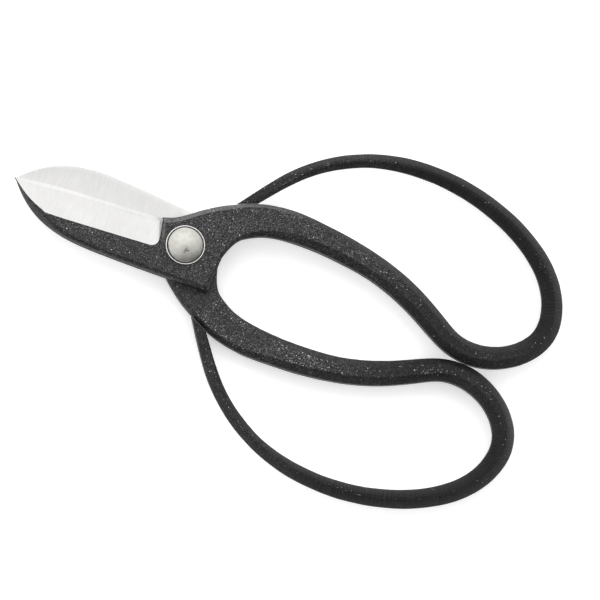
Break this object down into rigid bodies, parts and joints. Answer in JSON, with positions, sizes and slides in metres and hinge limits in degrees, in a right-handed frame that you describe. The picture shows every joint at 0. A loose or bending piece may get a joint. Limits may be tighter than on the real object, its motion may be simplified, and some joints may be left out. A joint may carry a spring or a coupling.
{
  "type": "floral snips",
  "caption": "Hand-forged butterfly-loop snips: short ground blades, wide finger loops and a domed rivet pivot.",
  "frame": {"origin": "on the rivet's axis, at the flat face of its peened tail, which the closed snips rest on", "axes": "+X from the rivet to the blade tips, +Z along the rivet to its domed head, +Y to the front blade's back"},
  "size_m": [0.1821, 0.1138, 0.015],
  "materials": {
    "forged_steel": "black forge scale, with the cutting bevel ground bright",
    "rivet_steel": "turned satin",
    "washer_steel": "polished"
  },
  "bodies": {
    "back": {"back_half": "forged_steel", "pivot_rivet": "rivet_steel", "front_washer": "washer_steel", "back_washer": "washer_steel"},
    "front": {"front_half": "forged_steel"}
  },
  "joints": [
    {"name": "pivot", "type": "hinge", "parent": "back", "child": "front", "pos_m": [0, 0, 0.007], "axis": [0, 0, 1], "range_deg": [0, 85]}
  ]
}
